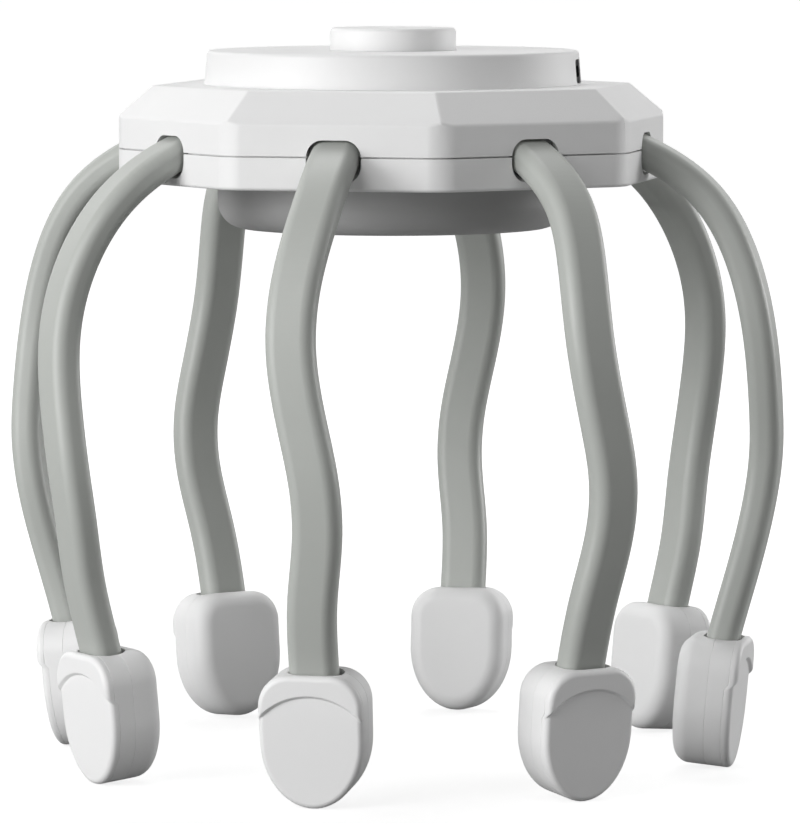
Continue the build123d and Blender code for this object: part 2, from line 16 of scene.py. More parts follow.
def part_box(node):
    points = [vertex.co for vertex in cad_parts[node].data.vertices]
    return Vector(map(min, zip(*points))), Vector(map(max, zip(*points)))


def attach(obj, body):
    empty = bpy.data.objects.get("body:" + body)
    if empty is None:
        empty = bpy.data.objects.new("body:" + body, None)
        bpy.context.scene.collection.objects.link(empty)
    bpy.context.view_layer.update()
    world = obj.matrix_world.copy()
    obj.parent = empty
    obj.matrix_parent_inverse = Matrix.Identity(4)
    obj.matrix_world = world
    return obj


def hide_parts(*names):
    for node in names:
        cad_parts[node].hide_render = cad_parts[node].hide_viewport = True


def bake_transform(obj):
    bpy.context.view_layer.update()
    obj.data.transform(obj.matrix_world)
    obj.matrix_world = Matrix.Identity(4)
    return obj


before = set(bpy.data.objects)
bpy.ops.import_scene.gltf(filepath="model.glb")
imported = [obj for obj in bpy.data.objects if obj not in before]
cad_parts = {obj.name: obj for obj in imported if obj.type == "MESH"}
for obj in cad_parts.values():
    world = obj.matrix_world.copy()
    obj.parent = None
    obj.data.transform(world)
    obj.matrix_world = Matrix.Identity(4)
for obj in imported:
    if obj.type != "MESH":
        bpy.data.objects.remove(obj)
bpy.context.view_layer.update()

# %% [markdown]
# ## Where things are
# The pieces are drawn in millimetres about the hub: Z is the hub's axis and zero is the line where its two
# shells meet. The first arm points along -Y. One matrix then brings them into the frame, which is in
# metres with the pods standing on zero.

# %% Places read from the frame
MM = 0.001
ARM_COUNT = 8
TOUCH = 0.01                # two heights closer than this are the same
MERGE_DISTANCE = TOUCH / 10
parting_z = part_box("lower_housing")[1].z
hub_space = Matrix.Translation((0, 0, parting_z)) @ Matrix.Scale(MM, 4)


def size_of(node):
    """The lowest and highest corner of a node, in millimetres about the hub."""
    return [hub_space.inverted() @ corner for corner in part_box(node)]


def turned(index):
    """The turn about the hub's axis that takes the first arm to another one."""
    return Matrix.Rotation(2 * pi * index / ARM_COUNT, 4, "Z")


HUB_R = size_of("lower_housing")[1].y
HUB_BOTTOM = size_of("crown_pad")[1].z
HUB_TOP = size_of("control_drum")[0].z
DRUM_R = size_of("control_drum")[1].y
DRUM_TOP = size_of("control_drum")[1].z
BUTTON_TOP = size_of("power_button")[1].z
BOWL_R = size_of("crown_pad")[1].y
BOWL_BOTTOM = size_of("crown_pad")[0].z
print("hub from", round(HUB_BOTTOM, 2), "to", round(HUB_TOP, 2), "mm, drum up to", round(DRUM_TOP, 2))

# %% [markdown]
# ## Camera
# A long lens, far away and a little above the hub, looks slightly down, and keeps near and far arms almost
# alike in size. The angles and the distance set how the hub's corners and the eight pods stand to each
# other in the picture.

# %% Place the camera
IMAGE_W = 800
IMAGE_H = 824
SENSOR = 36.0
FOCAL_PX = 5622.3
CAMERA_DISTANCE = 1.27945
CAMERA_AZIMUTH = radians(12.8)
CAMERA_DIP = radians(5.22)
CAMERA_Z = 0.1961
AXIS_COLUMN = 392.95        # the hub's axis is a little left of the middle


def add_object(name, data):
    """Put an object with this data into the scene."""
    holder = bpy.data.objects.new(name, data)
    bpy.context.scene.collection.objects.link(holder)
    return holder


camera_data = bpy.data.cameras.new("camera")
camera_data.sensor_width = SENSOR
camera_data.lens = FOCAL_PX * SENSOR / max(IMAGE_W, IMAGE_H)
camera = add_object("camera", camera_data)
bpy.context.scene.camera = camera
aside = atan((IMAGE_W / 2 - AXIS_COLUMN) / FOCAL_PX)
camera.location = (CAMERA_DISTANCE * sin(CAMERA_AZIMUTH), -CAMERA_DISTANCE * cos(CAMERA_AZIMUTH), CAMERA_Z)
camera.rotation_euler = (pi / 2 - CAMERA_DIP, 0, CAMERA_AZIMUTH - aside)
print("lens of", round(camera_data.lens, 1), "mm")

# %% [markdown]
# ## Shader maths in Python
# A procedural material is a small sum: a noise here, a factor there. This class wraps a node's socket, so
# that such a sum can be written with plus and times, and each sign adds its own Math node.

# %% A socket that can be added and multiplied


class Wire:
    """A socket of a material's node tree that takes part in sums."""

    def __init__(self, tree, socket):
        self.tree = tree
        self.socket = socket

    def math(self, operation, first, second):
        """Add a Math node over two wires or numbers."""
        node = self.tree.nodes.new("ShaderNodeMath")
        node.operation = operation
        for place, value in zip(node.inputs, (first, second)):
            if isinstance(value, Wire):
                self.tree.links.new(value.socket, place)
            else:
                place.default_value = value
        return Wire(self.tree, node.outputs[0])

    def __add__(self, other):
        return self.math("ADD", self, other)

    def __radd__(self, other):
        return self.math("ADD", other, self)

    def __sub__(self, other):
        return self.math("SUBTRACT", self, other)

    def __rsub__(self, other):
        return self.math("SUBTRACT", other, self)

    def __mul__(self, other):
        return self.math("MULTIPLY", self, other)

    def __rmul__(self, other):
        return self.math("MULTIPLY", other, self)


# %% [markdown]
# Every finish is one Principled shader with a few nodes before it. The next class makes the material, adds
# a node in one line, and leads the result to the socket where it belongs.

# %% A material built round one shader


class Finish:
    """A material that is built node by node around one Principled shader."""

    def __init__(self, name, **fixed):
        self.material = bpy.data.materials.new(name)
        self.material.use_nodes = True
        self.tree = self.material.node_tree
        self.shader = self.tree.nodes["Principled BSDF"]
        for socket, value in fixed.items():
            self.shader.inputs[socket.replace("_", " ")].default_value = value

    def node(self, kind, settings=None, output=0, **inputs):
        """Add a node: its settings first, then the values or links of its sockets."""
        node = self.tree.nodes.new("ShaderNode" + kind)
        for name, value in (settings or {}).items():
            setattr(node, name, value)
        for name, value in inputs.items():
            place = node.inputs[name.replace("_", " ")]
            if isinstance(value, Wire):
                self.tree.links.new(value.socket, place)
            else:
                place.default_value = value
        return Wire(self.tree, node.outputs[output])

    def place(self):
        """The point being shaded, in metres."""
        return self.node("TexCoord", output="Object")

    def noise(self, scale, detail=2.0):
        """A cloudy noise with so many swells in a metre."""
        return self.node("TexNoise", Vector=self.place(), Scale=scale, Detail=detail)

    def mixed(self, factor, first, second):
        """A colour between two colours."""
        node = self.tree.nodes.new("ShaderNodeMix")
        node.data_type = "RGBA"
        self.tree.links.new(factor.socket, node.inputs[0])
        # a Mix node's two colours come after its numbers and vectors
        for place, colour in ((node.inputs[6], first), (node.inputs[7], second)):
            if isinstance(colour, Wire):
                self.tree.links.new(colour.socket, place)
            else:
                place.default_value = (*colour, 1)
        return Wire(self.tree, node.outputs[2])

    def feed(self, socket, wire):
        """Lead a wire into one of the shader's sockets."""
        self.tree.links.new(wire.socket, self.shader.inputs[socket])

    def bump(self, height, depth):
        """Raise the surface by a height between 0 and 1, of so many millimetres in all."""
        self.feed("Normal", self.node("Bump", Height=height, Distance=depth * MM))


# %% [markdown]
# ## White moulded plastic
# The hub and the pods are injection-moulded, and their mould was roughened by spark erosion. That leaves a
# fine grain of about a quarter of a millimetre, which breaks up every highlight. A larger, much weaker
# noise shifts the tone and the gloss, as the cooling plastic does. The drawing of a highlight says more
# than the colour here, so the roughness varies more than the white does.

# %% Make the moulded plastics
CLOUD_SCALE = 45.0          # swells in a metre
GRAIN_SCALE = 4200.0
PAD_GRAIN_SCALE = 2500.0


def grey(level):
    """A colour without a tint."""
    return (level, level, level)


def moulded_plastic(name, light, dark, roughness, grain_depth, grain_scale=GRAIN_SCALE):
    """A matt plastic with spark-eroded grain."""
    finish = Finish(name, IOR=1.46, Specular_IOR_Level=0.4)
    clouds = finish.noise(CLOUD_SCALE, detail=3.0)
    grain = finish.noise(grain_scale, detail=3.0)
    finish.feed("Base Color", finish.mixed(clouds, light, dark))
    # each noise swings the roughness about its middle by half of its factor
    finish.feed("Roughness", roughness + 0.10 * (clouds - 0.5) + 0.08 * (grain - 0.5))
    finish.bump(grain, grain_depth)
    print(name, "of roughness", roughness)
    return finish.material


shell_white = moulded_plastic("white moulded shell", grey(0.82), grey(0.79), 0.50, 0.03)
pod_white = moulded_plastic("white moulded pod", grey(0.87), grey(0.84), 0.46, 0.015)
pad_white = moulded_plastic("white soft pad", grey(0.86), grey(0.84), 0.55, 0.01, PAD_GRAIN_SCALE)
bowl_grey = moulded_plastic("matt bowl", grey(0.41), grey(0.38), 0.48, 0.03)

# %% [markdown]
# ## Grey silicone rubber
# The arms are over-moulded in a grey with a trace of green. They come smooth out of a polished mould, so
# their round edges draw a soft bright line, where the grained plastic beside them stays matt. A cloudy
# noise dulls that line in places, as handling does.

# %% Make the rubber
rubber = Finish("grey silicone rubber", IOR=1.42, Specular_IOR_Level=0.5)
bloom = rubber.noise(70.0, detail=3.0)
dust = rubber.noise(3200.0)
rubber.feed("Base Color", rubber.mixed(bloom, (0.455, 0.470, 0.447), (0.428, 0.444, 0.421)))
rubber.feed("Roughness", 0.43 + 0.12 * (bloom - 0.5) + 0.06 * (dust - 0.5))
rubber.bump(dust, 0.01)
arm_grey = rubber.material
print(arm_grey.name, "has", len(rubber.tree.nodes), "nodes")

# %% [markdown]
# ## Dark plastic and metals
# The charging socket is black plastic round a thin steel sleeve. The pieces inside the closed housings
# never show, but they get honest finishes too, for anyone who opens the model.

# %% Make the darker finishes
INNER_GRAIN_SCALE = 900.0

black = Finish("black socket plastic", Specular_IOR_Level=0.03)
specks = black.noise(2600.0)
black.feed("Base Color", black.mixed(specks, (0.012, 0.012, 0.013), (0.022, 0.022, 0.023)))
black.feed("Roughness", 0.65 + 0.15 * (specks - 0.5))
black.bump(specks, 0.008)
socket_black = black.material


def plain_metal(name, light, dark, roughness):
    """A worked metal with a streaky gloss."""
    metal = Finish(name, Metallic=1.0)
    streaks = metal.noise(INNER_GRAIN_SCALE, detail=4.0)
    metal.feed("Base Color", metal.mixed(streaks, light, dark))
    metal.feed("Roughness", roughness + 0.2 * (streaks - 0.5))
    print(name, "of roughness", roughness)
    return metal.material


steel = plain_metal("zinc-plated steel", (0.62, 0.63, 0.65), (0.48, 0.49, 0.50), 0.30)
gold = plain_metal("plated contacts", (0.80, 0.58, 0.25), (0.70, 0.50, 0.20), 0.30)
heavy_metal = plain_metal("sintered weight", (0.33, 0.32, 0.31), (0.22, 0.21, 0.20), 0.50)
foil = plain_metal("battery foil", (0.72, 0.73, 0.75), (0.62, 0.63, 0.65), 0.35)
board_green = moulded_plastic("board lacquer", (0.02, 0.16, 0.06), (0.03, 0.20, 0.08), 0.30, 0.005,
                              INNER_GRAIN_SCALE)
lead_red = moulded_plastic("lead insulation", (0.45, 0.02, 0.02), (0.38, 0.02, 0.02), 0.40, 0.003,
                           INNER_GRAIN_SCALE)

# %% [markdown]
# ## Floor
# The object stands in a white studio. The floor is a middle grey that takes the object's shadow, and it
# glows for the camera alone, so that it looks white without lighting the pods from below. It glows a
# little less under the object, where the shadow falls.

# %% Build the floor
FLOOR_SIZE = 60.0
FLOOR_LIGHT = grey(0.35)
FLOOR_DARK = grey(0.343)
BLACK = grey(0.0)
WHITE = grey(1.0)
GLOW_UNDER = grey(0.82)     # under the object
GLOW_NEAR = 0.1             # metres from the middle, where the glow begins to grow
GLOW_FAR = 0.6              # and where it is full

floor_bm = bmesh.new()
bmesh.ops.create_grid(floor_bm, x_segments=1, y_segments=1, size=FLOOR_SIZE / 2)
floor_mesh = bpy.data.meshes.new("floor")
floor_bm.to_mesh(floor_mesh)
floor_bm.free()
floor = add_object("floor", floor_mesh)
floor.location.z = -MM / 10
paint = Finish("studio floor", Roughness=0.9, Specular_IOR_Level=0.0, Emission_Strength=1.0)
paint.feed("Base Color", paint.mixed(paint.noise(3.0), FLOOR_LIGHT, FLOOR_DARK))
distance = paint.node("VectorMath", {"operation": "LENGTH"}, output="Value", Vector=paint.place())
far = paint.node("MapRange", {"interpolation_type": "SMOOTHSTEP"}, Value=distance,
                 From_Min=GLOW_NEAR, From_Max=GLOW_FAR)
glow = paint.mixed(far, GLOW_UNDER, WHITE)
to_camera = paint.node("LightPath", output="Is Camera Ray")
paint.feed("Emission Color", paint.mixed(to_camera, BLACK, glow))
floor_mesh.materials.append(paint.material)
print("the floor is", FLOOR_SIZE, "m wide")

# %% [markdown]
# ## World
# The world looks white to the camera and in mirrors and glass, but sends only a little light to the
# object. The three kinds of rays are added up, and the sum stops at one.

# %% Build the world
AMBIENT = 0.02

world = bpy.data.worlds.new("studio")
bpy.context.scene.world = world
world.use_nodes = True
world_tree = world.node_tree
rays = world_tree.nodes.new("ShaderNodeLightPath")
seen, mirrored, through = [Wire(world_tree, rays.outputs[f"Is {kind} Ray"])
                           for kind in ("Camera", "Glossy", "Transmission")]
looked_at = seen.math("MINIMUM", seen + mirrored + through, 1.0)
brightness = AMBIENT + (1.0 - AMBIENT) * looked_at
background = world_tree.nodes["Background"]
world_tree.links.new(brightness.socket, background.inputs["Strength"])
background.inputs["Color"].default_value = (*WHITE, 1)
print("the world lights the object with a strength of", AMBIENT)

# %% [markdown]
# ## Lights
# The strongest light stands low at the left and gives each arm its bright side. One at the right, a little
# behind, brightens the far sides of the pods and leaves a darker band along their rims. The others reach
# the upper faces, and almost nothing comes from below, so the bowl under the hub stays in shade. All are
# soft, but small enough that the facets keep their own tones.

# %% Hang the lights
AIM = Vector((0, 0, 0.09))
LIGHT_DISTANCE = 1.6
LAMP_SIZE = 0.8


def soft_light(name, from_left, height, power):
    """A square lamp, placed by its angle left of the camera and its height above the horizon."""
    lamp = bpy.data.lights.new(name, "AREA")
    lamp.size = LAMP_SIZE
    lamp.energy = power
    holder = add_object(name, lamp)
    bearing = CAMERA_AZIMUTH - radians(from_left)
    level = cos(radians(height))
    back = Vector((sin(bearing) * level, -cos(bearing) * level, sin(radians(height))))
    holder.location = AIM + back * LIGHT_DISTANCE
    holder.rotation_euler = (-back).to_track_quat("-Z", "Y").to_euler()
    print(name, "of", power, "W,", from_left, "degrees left of the camera and", height, "degrees up")


soft_light("key light", 62, 8, 18.6)
soft_light("front light", 36, 25, 8.2)
soft_light("side light", 140, 25, 2)
soft_light("back light", 180, 60, 10)
soft_light("edge light", -116, 12, 13)
soft_light("fill light", -30, 30, 3)
bpy.context.scene.view_settings.view_transform = "Standard"

# %% [markdown]
# ## Small helpers for modelling
# Each piece is a bmesh that grows by operators: a face is drawn, extruded, inset and bevelled. These
# helpers name the few moves that come back again and again.

# %% Draw, extrude, inset and round


def pick(geom, kind):
    """The items of one kind among those that an operator gave back."""
    return [item for item in geom if isinstance(item, kind)]


def push(bm, face, z=0.0):
    """Extrude a face and lift its copy. The face itself stays behind. Returns the new face."""
    grown = bmesh.ops.extrude_face_region(bm, geom=[face])["geom"]
    new_face = pick(grown, bmesh.types.BMFace)[0]
    bmesh.ops.translate(bm, vec=(0, 0, z), verts=new_face.verts)
    return new_face


def inset(bm, face, width):
    """Shrink a face by a rim of its own."""
    bmesh.ops.inset_region(bm, faces=[face], thickness=width, use_boundary=True, use_even_offset=True)


def round_off(bm, parts, radius, steps, affect="EDGES"):
    """Round some edges, or the corners of a flat face."""
    bmesh.ops.bevel(bm, geom=list(parts), offset=radius, offset_type="OFFSET", segments=steps,
                    profile=0.5, affect=affect, material=-1)


def rounded_rectangle(bm, width, height, radius, steps):
    """Draw a rectangle with round corners at the origin, as one face."""
    corners = bmesh.ops.create_grid(bm, x_segments=1, y_segments=1, size=0.5)["verts"]
    bmesh.ops.scale(bm, vec=(width, height, 1), verts=corners)
    round_off(bm, corners, radius, steps, "VERTICES")
    return next(iter(bm.faces))


def bar(width, height, radius, steps, start, length):
    """A straight bar with round corners, which begins at a level."""
    bm = bmesh.new()
    face = rounded_rectangle(bm, width, height, radius, steps)
    bmesh.ops.translate(bm, vec=(0, 0, start), verts=face.verts)
    push(bm, face, length)
    return bm


# %% [markdown]
# Three larger moves follow. A sweep carries a face along the arm, a turned piece is spun about the hub's
# axis, and a cutter is taken out of a solid by Blender's exact boolean, because the slots for the arms
# cross rounded faces that no simple extrusion could meet.

# %% Sweep, turn and carve
TURN_STEPS = 160


def sweep(bm, face, stations):
    """Carry a face along a row of places, which are matrices. It leaves a face at each of them."""
    for before, after in zip(stations, stations[1:]):
        face = push(bm, face)
        bmesh.ops.transform(bm, matrix=after @ before.inverted(), verts=face.verts)


def lathe(bm, profile):
    """Turn a closed profile of radius and height about the hub's axis."""
    points = [bm.verts.new((radius, 0, height)) for radius, height in profile]
    edges = [bm.edges.new(pair) for pair in zip(points, points[1:] + points[:1])]
    bmesh.ops.spin(bm, geom=points + edges, cent=(0, 0, 0), axis=(0, 0, 1), angle=2 * pi,
                   steps=TURN_STEPS, use_merge=True)
    bmesh.ops.remove_doubles(bm, verts=bm.verts, dist=MERGE_DISTANCE)


def carve(bm, cutter):
    """Take the cutter's volume out of a solid. Returns the new bmesh and frees both."""
    holders = []
    for source in (bm, cutter):
        bmesh.ops.recalc_face_normals(source, faces=source.faces)
        mesh = bpy.data.meshes.new("temporary")
        source.to_mesh(mesh)
        source.free()
        holders.append(add_object("temporary", mesh))
    solid, tool = holders
    cut = solid.modifiers.new("cut", "BOOLEAN")
    cut.object = tool
    cut.solver = "EXACT"
    result = bmesh.new()
    result.from_object(solid, bpy.context.evaluated_depsgraph_get())
    for holder in holders:
        mesh = holder.data
        bpy.data.objects.remove(holder)
        bpy.data.meshes.remove(mesh)
    bmesh.ops.remove_doubles(result, verts=result.verts, dist=MERGE_DISTANCE)
    return result


# %% Finish and place a piece
SMOOTH_ANGLE = radians(38)


def finish_piece(name, bm, finish, node, space=hub_space):
    """Turn a bmesh into an object in the frame that stands for a CAD node."""
    shape = bm.copy()
    bmesh.ops.recalc_face_normals(shape, faces=shape.faces)
    bmesh.ops.transform(shape, matrix=space, verts=shape.verts)
    mesh = bpy.data.meshes.new(name)
    shape.to_mesh(mesh)
    shape.free()
    mesh.materials.append(finish)
    mesh.shade_smooth()
    mesh.set_sharp_from_angle(angle=SMOOTH_ANGLE)
    piece = add_object(name, mesh)
    even = piece.modifiers.new("even shading", "WEIGHTED_NORMAL")
    even.keep_sharp = True
    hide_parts(node)
    print(name, "has", len(mesh.polygons), "faces")
    return piece


def place_piece(name, bm, finish, node, body, space=hub_space):
    """Finish a piece that is there once, and let it ride on its body."""
    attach(finish_piece(name, bm, finish, node, space), body)
    bm.free()


def axes_place(point, right, up, out):
    """The matrix that stands a drawing at a point, with these three directions."""
    return Matrix.Translation(point) @ Matrix((right, up, out)).transposed().to_4x4()


# %% [markdown]
# ## The line of an arm
# An arm leaves the hub sloping down, swings out to its widest place and comes back in, and it waves
# sideways once on its way. A few points fix that line. A cubic spline through them bends evenly, and for
# that it needs the slope at each point, which comes from a small set of equations.

# %% Draw the arm's centreline
ARM_W = 10.7
ARM_T = 6.9
ARM_CORNER_R = 2.8
ROOT_R = HUB_R - 1.0        # the arms leave the middle of the hub's wall
ROOT_Z = -0.7
ROOT_DIP = radians(24)
END_LEAN = radians(14.5)
SLOT_DEPTH = 2.2
ARM_STEPS = 84
ARM_INSIDE = 4.0            # the arm goes on behind the hub's wall
ARM_ROUTE = [               # outward, sideways and upward from the root
    (0.0, 0.0, 0.0),
    (14.7, -0.4, -9.8),
    (23.8, -2.7, -25.1),
    (27.3, -3.1, -39.3),
    (28.5, -0.1, -56.8),
    (28.3, 2.0, -67.3),
    (26.7, 2.5, -79.3),
    (23.4, 0.6, -94.3),
    (19.2, 0.0, -109.6),
]
root_direction = Vector((0, -cos(ROOT_DIP), -sin(ROOT_DIP)))
end_direction = Vector((0, sin(END_LEAN), -cos(END_LEAN)))
route = [Vector((side, -(ROOT_R + out), ROOT_Z + up)) for out, side, up in ARM_ROUTE]
pod_top = route[-1]
arm_end = pod_top + end_direction * SLOT_DEPTH


def smooth_line(points, first_slope, last_slope, steps):
    """Pass a clamped cubic spline through the points. Returns places and directions along it."""
    at = np.array(points)
    gaps = np.linalg.norm(np.diff(at, axis=0), axis=1)
    count = len(at)
    rows = np.eye(count)
    sums = np.zeros((count, 3))
    sums[0], sums[-1] = first_slope, last_slope
    for i in range(1, count - 1):
        before, after = gaps[i - 1], gaps[i]
        rows[i, i - 1:i + 2] = after, 2 * (before + after), before
        sums[i] = 3 * (after * (at[i] - at[i - 1]) / before + before * (at[i + 1] - at[i]) / after)
    slopes = np.linalg.solve(rows, sums)
    line = []
    lengths = np.concatenate([[0], np.cumsum(gaps)])
    for length in np.linspace(0, lengths[-1], steps + 1):
        i = min(int(np.searchsorted(lengths, length, side="right")) - 1, count - 2)
        gap = gaps[i]
        t = (length - lengths[i]) / gap     # the share of this gap that lies behind
        place = ((2 * t**3 - 3 * t**2 + 1) * at[i] + (3 * t**2 - 2 * t**3) * at[i + 1]
                 + gap * (t**3 - 2 * t**2 + t) * slopes[i] + gap * (t**3 - t**2) * slopes[i + 1])
        slope = ((6 * t**2 - 6 * t) * (at[i] - at[i + 1]) / gap
                 + (3 * t**2 - 4 * t + 1) * slopes[i] + (3 * t**2 - 2 * t) * slopes[i + 1])
        line.append((Vector(place), Vector(slope).normalized()))
    return line


arm_line = smooth_line([*route, arm_end], root_direction, end_direction, ARM_STEPS)
print("an arm is", round(sum((b[0] - a[0]).length for a, b in zip(arm_line, arm_line[1:])), 1), "mm long")

# %% [markdown]
# ## Rubber arms
# In section an arm is a rectangle with large round corners, so it shows a flat face with a soft band on
# each side. The section is swept along the line. At the hub it goes on behind the wall, and at the other
# end into the pod. On the real massager the whole arm bends. In the frame it turns about the hub's wall.
# Here each arm is one fixed sweep, turned into its place about the hub's axis.

# %% Sweep the arms
SECTION_STEPS = 9


def section_place(point, direction):
    """A matrix that stands a drawing across the arm, with its width level."""
    across = (Vector((1, 0, 0)) - direction * direction.x).normalized()
    return axes_place(point, across, direction.cross(across), direction)


root_place = section_place(route[0], root_direction)
inner_start = route[0] - root_direction * ARM_INSIDE
stations = [section_place(inner_start, root_direction)] + [section_place(*step) for step in arm_line]
arm_bm = bmesh.new()
section = rounded_rectangle(arm_bm, ARM_W, ARM_T, ARM_CORNER_R, SECTION_STEPS)
bmesh.ops.transform(arm_bm, matrix=stations[0], verts=section.verts)
sweep(arm_bm, section, stations)
for index in range(ARM_COUNT):
    number = index + 1
    place = hub_space @ turned(index)
    arm = finish_piece(f"flex_arm_{number}", arm_bm, arm_grey, f"arm_{number}", place)
    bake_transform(arm)
arm_bm.free()

# %% [markdown]
# ## The pod's outline
# Seen from outside, a pod is flat at the top with round corners, straight at the sides, and closes with
# half an ellipse. It starts as a circle: the upper half goes, the lower half is stretched, and two points
# pulled up from the ends make the sides and the top. The sides also get the few points where the cover's
# lines cross them.

# %% Draw the outline
POD_W = 23.1
POD_H = 29.6
POD_CORNER_R = 7.0
POD_TAPER = 15.1
POD_STRAIGHT = POD_H - POD_TAPER
POD_SEGMENTS = 72
CORNER_STEPS = 10
BROW_R = 15.6
BROW_TOP = -4.1
BROW_BAND = 0.9             # width of the slope between the brow and the panel
BAND_STEPS = 4
brow_centre = BROW_TOP - BROW_R


def brow_height(across, inside):
    """Height at a place across the pod of the arc that lies so far inside the brow's."""
    return brow_centre + sqrt((BROW_R - inside)**2 - across**2)


arc_ends = {step / BAND_STEPS: brow_height(POD_W / 2, step / BAND_STEPS * BROW_BAND)
            for step in range(BAND_STEPS + 1)}


def mark_sides(bm, heights):
    """Put a vertex at each height on both straight sides of the outline."""
    for height in heights:
        for edge in list(bm.edges):
            top, bottom = sorted(edge.verts, key=lambda vert: -vert.co.y)
            upright = abs(top.co.x - bottom.co.x) < TOUCH and abs(abs(top.co.x) - POD_W / 2) < TOUCH
            if upright and bottom.co.y + TOUCH < height < top.co.y - TOUCH:
                bmesh.utils.edge_split(edge, top, (top.co.y - height) / (top.co.y - bottom.co.y))


def pod_outline(bm, level):
    """Draw the outline as one face at a level."""
    ring = bmesh.ops.create_circle(bm, cap_ends=False, segments=POD_SEGMENTS, radius=POD_W / 2)["verts"]
    lower = [vert for vert in ring if vert.co.y < TOUCH]
    bmesh.ops.delete(bm, geom=[vert for vert in ring if vert.co.y >= TOUCH], context="VERTS")
    bmesh.ops.scale(bm, vec=(1, POD_TAPER / (POD_W / 2), 1), verts=lower)
    bmesh.ops.translate(bm, vec=(0, -POD_STRAIGHT, 0), verts=lower)
    ends = [vert for vert in lower if abs(vert.co.y + POD_STRAIGHT) < TOUCH]
    corners = bmesh.ops.extrude_vert_indiv(bm, verts=ends)["verts"]
    bmesh.ops.translate(bm, vec=(0, POD_STRAIGHT, 0), verts=corners)
    bmesh.ops.contextual_create(bm, geom=corners)
    bmesh.ops.contextual_create(bm, geom=list(bm.edges))
    round_off(bm, corners, POD_CORNER_R, CORNER_STEPS, "VERTICES")
    mark_sides(bm, arc_ends.values())
    bmesh.ops.translate(bm, vec=(0, 0, level), verts=bm.verts)
    return next(iter(bm.faces))


print("a pod is", POD_W, "mm wide and", POD_H, "mm high")
print("its brow is", -BROW_TOP, "mm high in the middle")

# %% [markdown]
# ## Pod pieces
# Three shells make a pod. The pad lies on the scalp, so its face has a wide soft round. The case is the
# ring in the middle, and the cover closes it. Where two shells meet, a bevel of a tenth of a millimetre
# makes the fine line. The pieces are drawn as slices between levels, and the front of the case follows the
# step of the cover.

# %% Model the pad and the case
POD_FRONT = 5.8             # levels are measured outward from the arm's middle, where it enters the pod
PANEL_FACE = 4.95
COVER_BACK = 3.8
SEAM = -0.9
PAD_FACE = -8.6
SEAM_BEVEL = 0.1
SEAM_ROUND = (SEAM_BEVEL, 1)    # a round is its radius and its steps
PAD_ROUND = (3.6, 9)


def block(back, front, back_round, front_round):
    """A slice of the pod between two levels, with its own round at each end."""
    bm = bmesh.new()
    back_face = pod_outline(bm, back)
    front_face = push(bm, back_face, front - back)
    back_edges, front_edges = list(back_face.edges), list(front_face.edges)
    round_off(bm, back_edges, *back_round)
    round_off(bm, [edge for edge in front_edges if edge.is_valid], *front_round)
    return bm


def step_down(bm, level):
    """Lower what lies above a level by the brow's step, with a soft slope along the brow's arc."""
    for vert in bm.verts:
        inside = BROW_R - sqrt(vert.co.x**2 + (vert.co.y - brow_centre)**2)
        share = min(max(inside / BROW_BAND, 0.0), 1.0)
        if vert.co.z > level:
            vert.co.z -= (POD_FRONT - PANEL_FACE) * share * share * (3 - 2 * share)


def case_of_pod():
    """The ring in the middle, whose front edge follows the cover's step."""
    bm = block(SEAM, COVER_BACK, SEAM_ROUND, SEAM_ROUND)
    step_down(bm, COVER_BACK - SEAM_BEVEL - TOUCH)
    return bm


print("from its pad to its brow a pod is", round(POD_FRONT - PAD_FACE, 1), "mm thick")

# %% [markdown]
# The cover's block is bevelled first, and its front face is taken off. A vertex that is spun about the
# brow's centre draws an arc across the opening, and five such arcs, bridged, make the soft step from the
# brow down to the panel. Then the panel and all that lies beside it are lowered, point by point, by a
# smooth share of the step.

# %% Model the cover
RIM_ROUND = (1.3, 7)
ARC_PARTS = 40


def brow_arc(bm, start, end, radius):
    """Spin a vertex along the brow's arc until it meets the other side. Returns the new edges."""
    before = set(bm.edges)
    reach = asin(abs(start.co.x) / radius)
    spun = bmesh.ops.spin(bm, geom=[start], cent=(0, brow_centre, start.co.z), axis=(0, 0, -1),
                          angle=2 * reach, steps=ARC_PARTS)
    last = pick(spun["geom_last"], bmesh.types.BMVert)[0]
    bmesh.ops.weld_verts(bm, targetmap={last: end})
    return [edge for edge in bm.edges if edge not in before]


def cover_of_pod():
    """The outer shell, with its brow and its panel."""
    bm = block(COVER_BACK, POD_FRONT, SEAM_ROUND, RIM_ROUND)
    front = max(bm.faces, key=lambda face: (round(face.calc_center_median().z, 3), len(face.verts)))
    front_verts = set(front.verts)
    arc_starts = {share: [] for share in arc_ends}
    # slide the rim's marks onto the arcs of the sloping band
    for share, height in arc_ends.items():
        for vert in bm.verts:
            if abs(vert.co.y - height) < TOUCH:
                vert.co.y = brow_height(vert.co.x, share * BROW_BAND)
                if vert in front_verts:
                    arc_starts[share].append(vert)
    bmesh.ops.delete(bm, geom=[front], context="FACES_ONLY")
    arcs = []
    for share, ends in arc_starts.items():
        left, right = sorted(ends, key=lambda vert: vert.co.x)
        arcs.append(brow_arc(bm, left, right, BROW_R - share * BROW_BAND))
    for upper, lower in zip(arcs, arcs[1:]):
        bmesh.ops.bridge_loops(bm, edges=upper + lower)
    bmesh.ops.holes_fill(bm, edges=[edge for edge in bm.edges if len(edge.link_faces) < 2])
    step_down(bm, 0)
    return bm


print("the panel lies", round(POD_FRONT - PANEL_FACE, 2), "mm behind the brow")

# %% [markdown]
# ## Placing the pods
# The pods lean in a little less than the arms do. Each has a slot in its top for the arm, which is carved
# out of all three pieces with one cutter, so that it runs through them without a step. The arm lies a
# little nearer one side, and the slot goes on below the arm's end, which keeps the gap dark.

